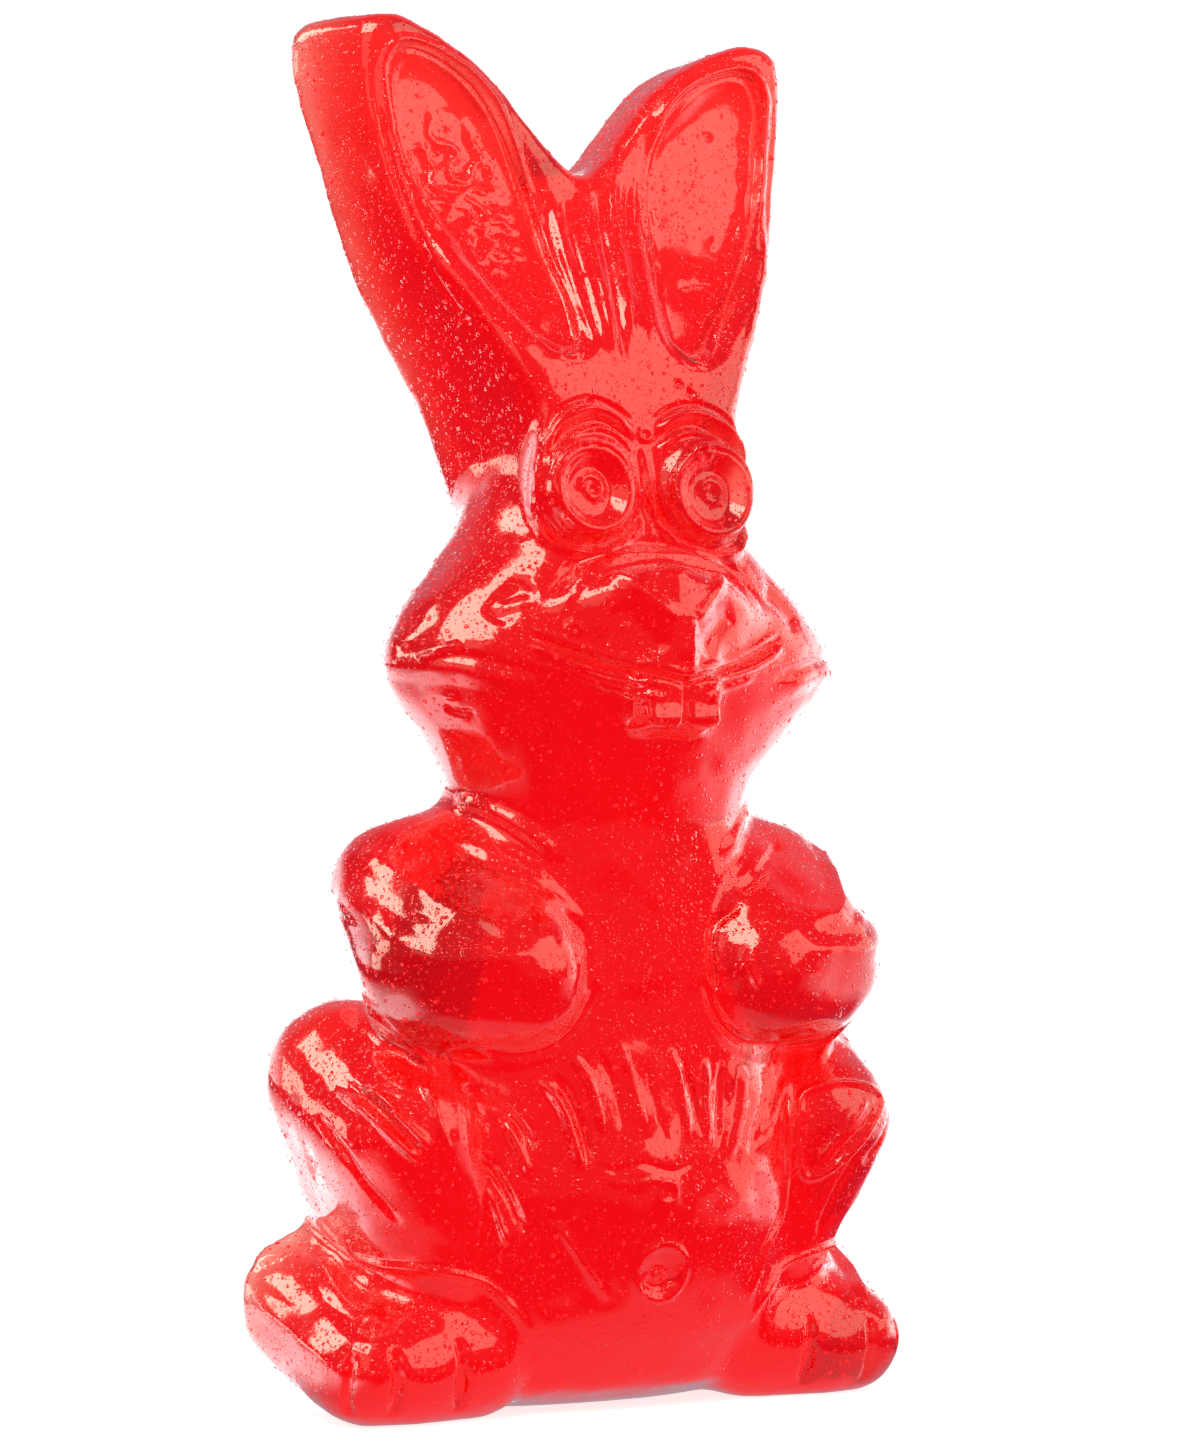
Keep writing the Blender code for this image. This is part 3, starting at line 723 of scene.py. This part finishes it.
def fine_dew_group():
    """Round cells of two sizes where there is dew, and how high each one stands."""
    group = bpy.data.node_groups.new("fine_dew", "ShaderNodeTree")
    add_sockets(group, "INPUT", "Float", "Dew", "Cells per metre")
    add_sockets(group, "OUTPUT", "Float", "Height")
    given = node(group, "NodeGroupInput")
    out = node(group, "NodeGroupOutput")
    where = node(group, "ShaderNodeTexCoord")
    heights = []
    for factor, share in CELL_LAYERS:
        scale = calc(group, "MULTIPLY", given.outputs["Cells per metre"], factor)
        cells = node(group, "ShaderNodeTexVoronoi")
        feed(group, cells, {"Vector": where.outputs["Object"], "Scale": scale})
        dome = remap(group, cells.outputs["Distance"], CELL_EDGE, CELL_TOP, 0.0, 1.0)
        split = node(group, "ShaderNodeSeparateColor")
        wire(group, cells.outputs["Color"], split.inputs["Color"])
        chance = calc(group, "MULTIPLY", given.outputs["Dew"], share)
        there = calc(group, "LESS_THAN", split.outputs["Red"], chance)
        bead = calc(group, "MULTIPLY", dome, there)
        heights.append(calc(group, "MULTIPLY", bead, 1.0 / factor))
    both = calc(group, "MAXIMUM", heights[0], heights[1])
    wire(group, both, out.inputs["Height"])
    return group


fine_dew = fine_dew_group()
print("fine dew:", len(CELL_LAYERS), "layers of cells")

# %% The jelly material
JELLY_IOR, COAT_IOR, COAT_ROUGHNESS = 1.40, 1.55, 0.10
LET_THROUGH, DENSITY = (0.981, 0.06, 0.0, 1.0), 620.0  # what is left of white light, and how soon
TINTS = ((1.0, 0.78, 0.66, 1.0), (1.0, 0.70, 0.58, 1.0))
SMOOTH, DULL, FROST = 0.06, 0.13, 0.42  # roughness, and what the inner side of the skin adds
CELLS, WAVES = 2300.0, 420.0  # per metre
WAVE_SHARE, BUMP_HEIGHT = 0.5, 0.05  # of the waves in the bump, and its height in millimetres


def jelly_material(name):
    """Clear jelly that swallows green and blue, with a wet coat and fine dew."""
    jelly = bpy.data.materials.new(name)
    jelly.use_nodes = True
    tree = jelly.node_tree
    tree.nodes.clear()
    # Light that is already inside must not meet the coat again
    side = node(tree, "ShaderNodeNewGeometry")
    outer = calc(tree, "SUBTRACT", 1.0, side.outputs["Backfacing"])
    where = node(tree, "ShaderNodeTexCoord")
    amount = node(tree, "ShaderNodeAttribute", attribute_name="dew")
    fine = node(tree, "ShaderNodeGroup", node_tree=fine_dew)
    feed(tree, fine, {"Dew": amount.outputs["Fac"], "Cells per metre": CELLS})
    waves = node(tree, "ShaderNodeTexNoise")
    feed(tree, waves, {"Vector": where.outputs["Object"], "Scale": WAVES, "Detail": 3.0})
    frost = calc(tree, "MULTIPLY", side.outputs["Backfacing"], FROST)
    even = remap(tree, waves.outputs["Fac"], 0.3, 0.7, SMOOTH, DULL)
    share = remap(tree, waves.outputs["Fac"], 0.35, 0.65, 0.0, 1.0)
    swell = calc(tree, "MULTIPLY", waves.outputs["Fac"], WAVE_SHARE)
    height = calc(tree, "ADD", swell, fine.outputs["Height"])
    bump = node(tree, "ShaderNodeBump")
    feed(tree, bump, {"Strength": outer, "Distance": BUMP_HEIGHT * MM, "Height": height})
    skin = node(tree, "ShaderNodeBsdfPrincipled")
    feed(tree, skin, {
        "Base Color": blend(tree, share, *TINTS),
        "Roughness": calc(tree, "ADD", frost, even),
        "IOR": JELLY_IOR, "Transmission Weight": 1.0,
        "Coat Weight": outer, "Coat Roughness": COAT_ROUGHNESS, "Coat IOR": COAT_IOR,
        "Normal": bump.outputs["Normal"], "Coat Normal": bump.outputs["Normal"],
    })
    depth = node(tree, "ShaderNodeVolumeAbsorption")
    feed(tree, depth, {"Color": LET_THROUGH, "Density": DENSITY})
    out = node(tree, "ShaderNodeOutputMaterial")
    feed(tree, out, {"Surface": skin.outputs["BSDF"], "Volume": depth.outputs["Volume"]})
    return jelly


jelly = jelly_material("red_jelly")
print("jelly:", len(jelly.node_tree.nodes), "nodes")

# %% The material of the beads
BEAD_TINTS = ((0.76, 0.002, 0.006, 1.0), (0.92, 0.018, 0.018, 1.0))
BEAD_SPOTS = 1500.0  # per metre, so that neighbouring beads differ
BEAD_ROUGHNESS, BEAD_COAT_ROUGHNESS = 0.4, 0.05


def bead_material():
    """A bead is too small to see through: it shows a pink body under a wet coat."""
    bead = bpy.data.materials.new("pink_bead")
    bead.use_nodes = True
    tree = bead.node_tree
    where = node(tree, "ShaderNodeTexCoord")
    spots = node(tree, "ShaderNodeTexNoise")
    feed(tree, spots, {"Vector": where.outputs["Object"], "Scale": BEAD_SPOTS})
    share = remap(tree, spots.outputs["Fac"], 0.35, 0.65, 0.0, 1.0)
    feed(tree, tree.nodes["Principled BSDF"], {
        "Base Color": blend(tree, share, *BEAD_TINTS),
        "Roughness": BEAD_ROUGHNESS, "Specular IOR Level": 0.0,
        "Coat Weight": 1.0, "Coat Roughness": BEAD_COAT_ROUGHNESS,
    })
    return bead


bead_jelly = bead_material()
bunny.data.materials.clear()
bunny.data.materials.append(jelly)
bunny.data.shade_smooth()

# %% [markdown]
# ## Beads of dew
# The larger beads stand proud and each one catches the windows, so they are real little domes, in
# four sizes. A Geometry Nodes tree scatters each size over the skin, more where the stored dew is
# high, turns every bead to stand on the skin and gives it a size of its own, most of them small.
# Beads modelled one by one would look the same, but their number could not be changed.

# %% A tree that scatters beads
MOSTLY_SMALL = 2.2  # a higher power makes more of the beads small


def bead_tree():
    tree = bpy.data.node_groups.new("scatter_beads", "GeometryNodeTree")
    add_sockets(tree, "INPUT", "Geometry", "Geometry")
    add_sockets(tree, "INPUT", "Float", "Density", "Spacing", "Smallest", "Largest", "Flatness")
    add_sockets(tree, "INPUT", "Int", "Seed", "Sides", "Rings")
    add_sockets(tree, "INPUT", "Material", "Finish")
    add_sockets(tree, "OUTPUT", "Geometry", "Geometry")
    given = node(tree, "NodeGroupInput").outputs
    dew = node(tree, "GeometryNodeInputNamedAttribute", data_type="FLOAT")
    feed(tree, dew, {"Name": "dew"})
    points = node(tree, "GeometryNodeDistributePointsOnFaces", distribute_method="POISSON")
    feed(tree, points, {
        "Mesh": given["Geometry"], "Distance Min": given["Spacing"], "Density Max": given["Density"],
        "Density Factor": dew.outputs["Attribute"], "Seed": given["Seed"],
    })
    chance = node(tree, "FunctionNodeRandomValue", data_type="FLOAT")
    feed(tree, chance, {"Seed": given["Seed"]})
    skew = calc(tree, "POWER", chance.outputs[1], MOSTLY_SMALL)
    size = node(tree, "ShaderNodeMapRange")
    feed(tree, size, {"Value": skew, "To Min": given["Smallest"], "To Max": given["Largest"]})
    wide = size.outputs["Result"]
    flat = node(tree, "ShaderNodeCombineXYZ")
    low = calc(tree, "MULTIPLY", wide, given["Flatness"])
    feed(tree, flat, {"X": wide, "Y": wide, "Z": low})
    dome = node(tree, "GeometryNodeMeshUVSphere")
    feed(tree, dome, {"Radius": 1.0, "Segments": given["Sides"], "Rings": given["Rings"]})
    beads = node(tree, "GeometryNodeInstanceOnPoints")
    feed(tree, beads, {
        "Points": points.outputs["Points"], "Instance": dome.outputs["Mesh"],
        "Rotation": points.outputs["Rotation"], "Scale": flat.outputs["Vector"],
    })
    real = node(tree, "GeometryNodeRealizeInstances")
    feed(tree, real, {"Geometry": beads.outputs["Instances"]})
    finish = node(tree, "GeometryNodeSetMaterial")
    feed(tree, finish, {"Geometry": real.outputs["Geometry"], "Material": given["Finish"]})
    out = node(tree, "NodeGroupOutput")
    feed(tree, out, {"Geometry": finish.outputs["Geometry"]})
    return tree


# %% Scatter the beads
ROUND_SIDES = 8  # a bead with fewer sides is shaded flat, because smooth shading would darken it


def scatter_beads(name, source, values):
    """A plain mesh of beads on a source object's skin; values are the tree's inputs by name."""
    made = add_object(name, source.data.copy())
    scatter = made.modifiers.new("beads", "NODES")
    scatter.node_group = tree = bead_tree()
    for item in tree.interface.items_tree:
        if item.in_out == "INPUT" and item.name in values:
            scatter[item.identifier] = values[item.name]
    settle(made)
    if values["Sides"] < ROUND_SIDES:
        made.data.shade_flat()
    made.visible_transmission = False
    print(name + ":", count_triangles(made.data), "triangles")
    return made


# Name, most beads, spacing, smallest and largest radius in millimetres, flatness, seed, sides, rings
DEW = (
    ("dew_beads", 3000, 0.8, 0.11, 0.23, 0.24, 7, 8, 5),
    ("dew_drops", 9600, 0.40, 0.08, 0.14, 0.22, 21, 6, 3),
    ("dew_mist", 10600, 0.28, 0.05, 0.09, 0.22, 33, 5, 3),
    ("dew_haze", 10600, 0.28, 0.05, 0.08, 0.22, 58, 5, 3),
)
dewy_area = sum(face.area * dew[list(face.vertices)].mean() for face in bunny.data.polygons)
dew_pieces = []
for name, most, spacing, smallest, largest, flatness, seed, sides, rings in DEW:
    dew_pieces.append(scatter_beads(name, bunny, {
        "Density": most / dewy_area, "Spacing": spacing * MM, "Finish": bead_jelly,
        "Smallest": smallest * MM, "Largest": largest * MM, "Flatness": flatness,
        "Seed": seed, "Sides": sides, "Rings": rings,
    }))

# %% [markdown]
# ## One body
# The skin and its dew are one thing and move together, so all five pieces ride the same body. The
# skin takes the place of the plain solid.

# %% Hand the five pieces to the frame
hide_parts("gummy_bunny")
for piece in (bunny, *dew_pieces):
    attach(piece, "root")

# %% [markdown]
# ## The studio
# The bunny stands on a white table in front of a bright white wall, so light shines through it from
# all round. Jelly both mirrors its surroundings and lets them through, and one white room for both
# would make it milky. So the Light Path node tells the rays apart: the camera sees plain white,
# light on its way through the jelly meets an even glow, and light mirrored in the skin meets a
# table and a wall of their own, dark in front of the bunny, which keeps the red deep.

# %% Tell the rays apart
def seen_in_skin(tree, deepest):
    """1 for light that the camera sees mirrored in the skin, and 0 for any other light."""
    path = node(tree, "ShaderNodeLightPath")
    glossy, reflected = path.outputs["Is Glossy Ray"], path.outputs["Is Reflection Ray"]
    mirrored = calc(tree, "MULTIPLY", glossy, reflected)
    first = calc(tree, "LESS_THAN", path.outputs["Ray Depth"], deepest)
    return calc(tree, "MULTIPLY", mirrored, first), path


def pick_shader(tree, last, choices):
    """Puts the shader of each choice over the last one wherever its switch is 1."""
    for switch, shader in choices:
        mix = node(tree, "ShaderNodeMixShader")
        feed(tree, mix, {0: switch, 1: last, 2: shader})
        last = mix.outputs[0]
    return last


def vector_calc(tree, operation, source, other=(0.0, 0.0, 0.0), result="Value"):
    made = node(tree, "ShaderNodeVectorMath", operation=operation)
    feed(tree, made, {0: source, 1: other})
    return made.outputs[result]


# %% [markdown]
# ## The table
# To the camera the table is plain white paper. In the skin it shows painted light behind the bunny and
# in one spot beside it, and painted shade in front, in a spot on the other side and in a contact shadow
# where the bunny stands, with a faint painted glow round that. Each of these is a distance or a
# direction on the table that a Map Range node turns into light, because a painted picture could not
# be changed with a few numbers.

# %% The table as the skin mirrors it
TABLE_BRIGHT = 2.5  # how bright the lit parts look in the skin
TABLE_WAY, TURN_RANGE = (0.087, 0.996, 0.0), (-0.7, 0.75)  # towards the brightest part, as cosines
SIDE_RANGE = (-0.11, -0.05)  # metres to the bunny's right over which the light comes up
TABLE_LIT, LIT_RANGE = (-0.046, 0.007, 0.0), (0.016, 0.030)  # the bright spot, and where it ends
TABLE_SHADE, SHADE_RANGE = (0.035, -0.01, 0.0), (0.03, 0.06)  # the dark spot, and where it ends
# FOOT_SHADOW is the light left inside the foot's oval by the painted contact shadow of the bunny on the table
FOOT, FOOT_RANGE, FOOT_SHADOW = (0.030, 0.016, 1.0), (0.8, 1.3), 0.05  # half sizes of the foot's oval
GLOW_RANGE, GLOW = (1.0, 1.25), 0.30  # a faint glow round the foot
MIRRORED_FRONT = (0.07, 0.04, 0.09)  # the least that the skin mirrors from any side


def mirrored_table(tree):
    """The painted light and shade that the skin mirrors from each point of the table."""
    where = node(tree, "ShaderNodeTexCoord").outputs["Object"]
    # Painted light behind the bunny and painted shade in front of it, then a painted shadow spot on one side
    # and a painted lit spot on the other
    way = vector_calc(tree, "NORMALIZE", where, result="Vector")
    way = vector_calc(tree, "DOT_PRODUCT", way, TABLE_WAY)
    behind = remap(tree, way, *TURN_RANGE, 0.0, TABLE_BRIGHT)
    split = node(tree, "ShaderNodeSeparateXYZ")
    wire(tree, where, split.inputs["Vector"])
    inward = remap(tree, split.outputs["X"], *SIDE_RANGE, 0.0, 1.0)
    shade = vector_calc(tree, "DISTANCE", where, TABLE_SHADE)
    clear = remap(tree, shade, *SHADE_RANGE, 0.0, 1.0)
    spot = vector_calc(tree, "DISTANCE", where, TABLE_LIT)
    spot = remap(tree, spot, *LIT_RANGE, TABLE_BRIGHT, 0.0)
    # Painted contact shadow inside the foot's oval, where the bunny stands, and a faint painted glow of light
    # through the jelly just round it
    foot = vector_calc(tree, "DIVIDE", where, FOOT, result="Vector")
    foot = vector_calc(tree, "LENGTH", foot)
    free = remap(tree, foot, *FOOT_RANGE, FOOT_SHADOW, 1.0)
    glow = remap(tree, foot, *GLOW_RANGE, GLOW, 0.0)
    wide = calc(tree, "MULTIPLY", behind, inward)
    wide = calc(tree, "MULTIPLY", wide, clear)
    lit = calc(tree, "MAXIMUM", wide, spot)
    lit = calc(tree, "MULTIPLY", lit, free)
    lit = calc(tree, "MAXIMUM", lit, glow)
    return vector_calc(tree, "ADD", lit, MIRRORED_FRONT, result="Vector")


# %% The table
TABLE_RADIUS = 1.5
PAPER_GREY, PAPER_ROUGHNESS, PAPER_GLOW = 0.45, 0.9, 0.75
THROUGH_FRONT, THROUGH_BACK = 1.05, 1.2  # brightness of the room to light inside the jelly
FIRST_MIRROR = 1.5  # between the first and the second meeting of a ray with a surface


def white_paper():
    paper = bpy.data.materials.new("white_paper")
    paper.use_nodes = True
    tree = paper.node_tree
    shader = tree.nodes["Principled BSDF"]
    feed(tree, shader, {
        "Base Color": (PAPER_GREY, PAPER_GREY, PAPER_GREY, 1.0), "Roughness": PAPER_ROUGHNESS,
        "Emission Color": (1.0, 1.0, 1.0, 1.0), "Emission Strength": PAPER_GLOW,
    })
    even = node(tree, "ShaderNodeEmission")
    feed(tree, even, {"Strength": THROUGH_BACK})
    shade = node(tree, "ShaderNodeEmission")
    feed(tree, shade, {"Color": mirrored_table(tree)})
    mirrored, path = seen_in_skin(tree, FIRST_MIRROR)
    passing, glossy = path.outputs["Is Transmission Ray"], path.outputs["Is Glossy Ray"]
    inside = calc(tree, "ADD", passing, glossy)
    choices = ((inside, even.outputs[0]), (mirrored, shade.outputs[0]))
    last = pick_shader(tree, shader.outputs[0], choices)
    wire(tree, last, tree.nodes["Material Output"].inputs["Surface"])
    return paper


def studio_floor():
    bm = bmesh.new()
    bmesh.ops.create_circle(bm, cap_ends=True, segments=96, radius=TABLE_RADIUS)
    mesh = bpy.data.meshes.new("table_top")
    bm.to_mesh(mesh)
    bm.free()
    table = add_object("table_top", mesh)
    mesh.materials.append(white_paper())
    print("table:", round(2 * TABLE_RADIUS, 1), "metres across")


studio_floor()

# %% [markdown]
# ## The room
# A world has no walls, so the direction of a ray says what it meets: the bright wall lies one way
# and fades out upwards, and the rest of the room is dim, a little brighter overhead. This costs
# nothing to render, where real walls and lamps behind them would make noise in the jelly.

# %% The room
WALL_WAY = (0.5, 0.866, 0.0)  # from the bunny to the bright wall behind it
WALL_RANGE, MIRRORED_BACK = (0.25, 0.5), 2.0  # where the wall begins, as cosines, and how bright it is
WALL_HEIGHT, ABOVE_WALL = (0.20, 0.42), 0.12  # where it fades out upwards, and the share left there
FRONT_RANGE, FRONT_SIDES = (0.1, -0.5), 0.35  # from side to front, and the share of light at the side
CEILING_RANGE, FLOOR_LEVEL, CEILING = (-0.1, 0.7), 0.06, 0.12  # light from the floor to the ceiling
THROUGH_RANGE = (-0.45, 0.20)  # from front to back, for light inside the jelly
WHITE = (1.05, 1.05, 1.05, 1.0)  # a little over 1, so that it stays white
SECOND_MIRROR = 2.5  # between the second and the third meeting of a ray with a surface


def studio_world():
    """White to the camera, with a room of its own for the skin and one for inside the jelly."""
    world = bpy.data.worlds.new("white_room")
    world.use_nodes = True
    tree = world.node_tree
    tree.nodes.clear()
    out = node(tree, "ShaderNodeOutputWorld")
    seen, path = seen_in_skin(tree, SECOND_MIRROR)
    where = node(tree, "ShaderNodeTexCoord").outputs["Generated"]
    split = node(tree, "ShaderNodeSeparateXYZ")
    wire(tree, where, split.inputs["Vector"])
    wall, height = vector_calc(tree, "DOT_PRODUCT", where, WALL_WAY), split.outputs["Z"]
    behind = remap(tree, wall, *WALL_RANGE, 0.0, MIRRORED_BACK)
    below = remap(tree, height, *WALL_HEIGHT, 1.0, ABOVE_WALL)
    lit = calc(tree, "MULTIPLY", behind, below)
    front = remap(tree, wall, *FRONT_RANGE, FRONT_SIDES, 1.0)
    above = remap(tree, height, *CEILING_RANGE, FLOOR_LEVEL, CEILING)
    lit = calc(tree, "MAXIMUM", lit, calc(tree, "MULTIPLY", front, above))
    mirrored = vector_calc(tree, "ADD", lit, MIRRORED_FRONT, result="Vector")
    through = remap(tree, wall, *THROUGH_RANGE, THROUGH_FRONT, THROUGH_BACK)
    lights = []
    for colour in (through, mirrored, WHITE):
        light = node(tree, "ShaderNodeBackground")
        feed(tree, light, {"Color": colour, "Strength": 1.0})
        lights.append(light.outputs[0])
    choices = ((seen, lights[1]), (path.outputs["Is Camera Ray"], lights[2]))
    wire(tree, pick_shader(tree, lights[0], choices), out.inputs["Surface"])
    world.cycles.sampling_method = "NONE"
    bpy.context.scene.world = world


studio_world()
print("room:", len(bpy.context.scene.world.node_tree.nodes), "nodes")

# %% [markdown]
# ## The windows
# Six soft windows put pale patches on the facets that face them. Each is an area light that is
# left out of the light inside the jelly, where it would show as a bright square.

# %% The windows
WINDOW_TINT = (1.0, 1.0, 0.78)
WINDOW_AIM = 0.05  # height that every window faces, in metres
# Name, degrees from the bunny's front towards its left, degrees up, distance, width, height, radiance
WINDOWS = (
    ("window_front", 43, 29, 0.60, 0.40, 0.37, 1.4),
    ("window_front_left", -47, 23, 0.60, 0.34, 0.28, 0.6),
    ("window_top_left", -52, 53, 0.60, 0.38, 0.28, 6.5),
    ("window_back_left", -115, 42, 0.60, 0.14, 0.28, 6.5),
    ("window_low_left", -122, 6, 2.00, 0.92, 0.62, 4.0),
    ("window_right", 81, 9, 0.60, 0.36, 0.40, 1.0),
)


def window(name, turn, rise, distance, width, height, radiance):
    turn, rise = math.radians(turn), math.radians(rise)
    away = Vector((math.sin(turn) * math.cos(rise), -math.cos(turn) * math.cos(rise), math.sin(rise)))
    lamp = bpy.data.lights.new(name, "AREA")
    lamp.shape = "RECTANGLE"
    lamp.size, lamp.size_y = width, height
    lamp.energy = radiance * math.pi * width * height
    lamp.color = WINDOW_TINT
    made = add_object(name, lamp)
    made.location = Vector((0.0, 0.0, WINDOW_AIM)) + away * distance
    made.rotation_euler = (-away).to_track_quat("-Z", "Y").to_euler()
    made.visible_transmission = False


for row in WINDOWS:
    window(*row)
print("windows:", len(WINDOWS))

# %% [markdown]
# ## The camera
# The photograph was taken from the bunny's front, a little to its right, with a long lens that
# looks slightly up. Its place and its focal length in pixels were found by fitting the outline.

# %% The camera
TURN, RISE = math.radians(30.0), math.radians(0.78)
DISTANCE, CAMERA_HEIGHT, OFFSET = 0.343, 0.0444, 0.00292
SENSOR, FOCAL_PIXELS, FRAME_PIXELS = 36.0, 4700, 1200


def studio_camera():
    lens = bpy.data.cameras.new("camera")
    lens.sensor_fit = "HORIZONTAL"
    lens.sensor_width = SENSOR
    lens.lens = SENSOR * FOCAL_PIXELS / FRAME_PIXELS
    lens.clip_start = 0.01
    made = add_object("camera", lens)
    across = Vector((math.cos(TURN), -math.sin(TURN), 0.0))
    look = Vector((math.sin(TURN), math.cos(TURN), 0.0))
    made.location = Vector((0, HEEL * MM, CAMERA_HEIGHT)) + across * OFFSET - look * DISTANCE
    aim = look * math.cos(RISE) + Vector((0, 0, math.sin(RISE)))
    made.rotation_euler = aim.to_track_quat("-Z", "Y").to_euler()
    bpy.context.scene.camera = made
    print("camera:", round(lens.lens), "mm lens")


studio_camera()
bpy.context.scene.view_settings.view_transform = "Standard"
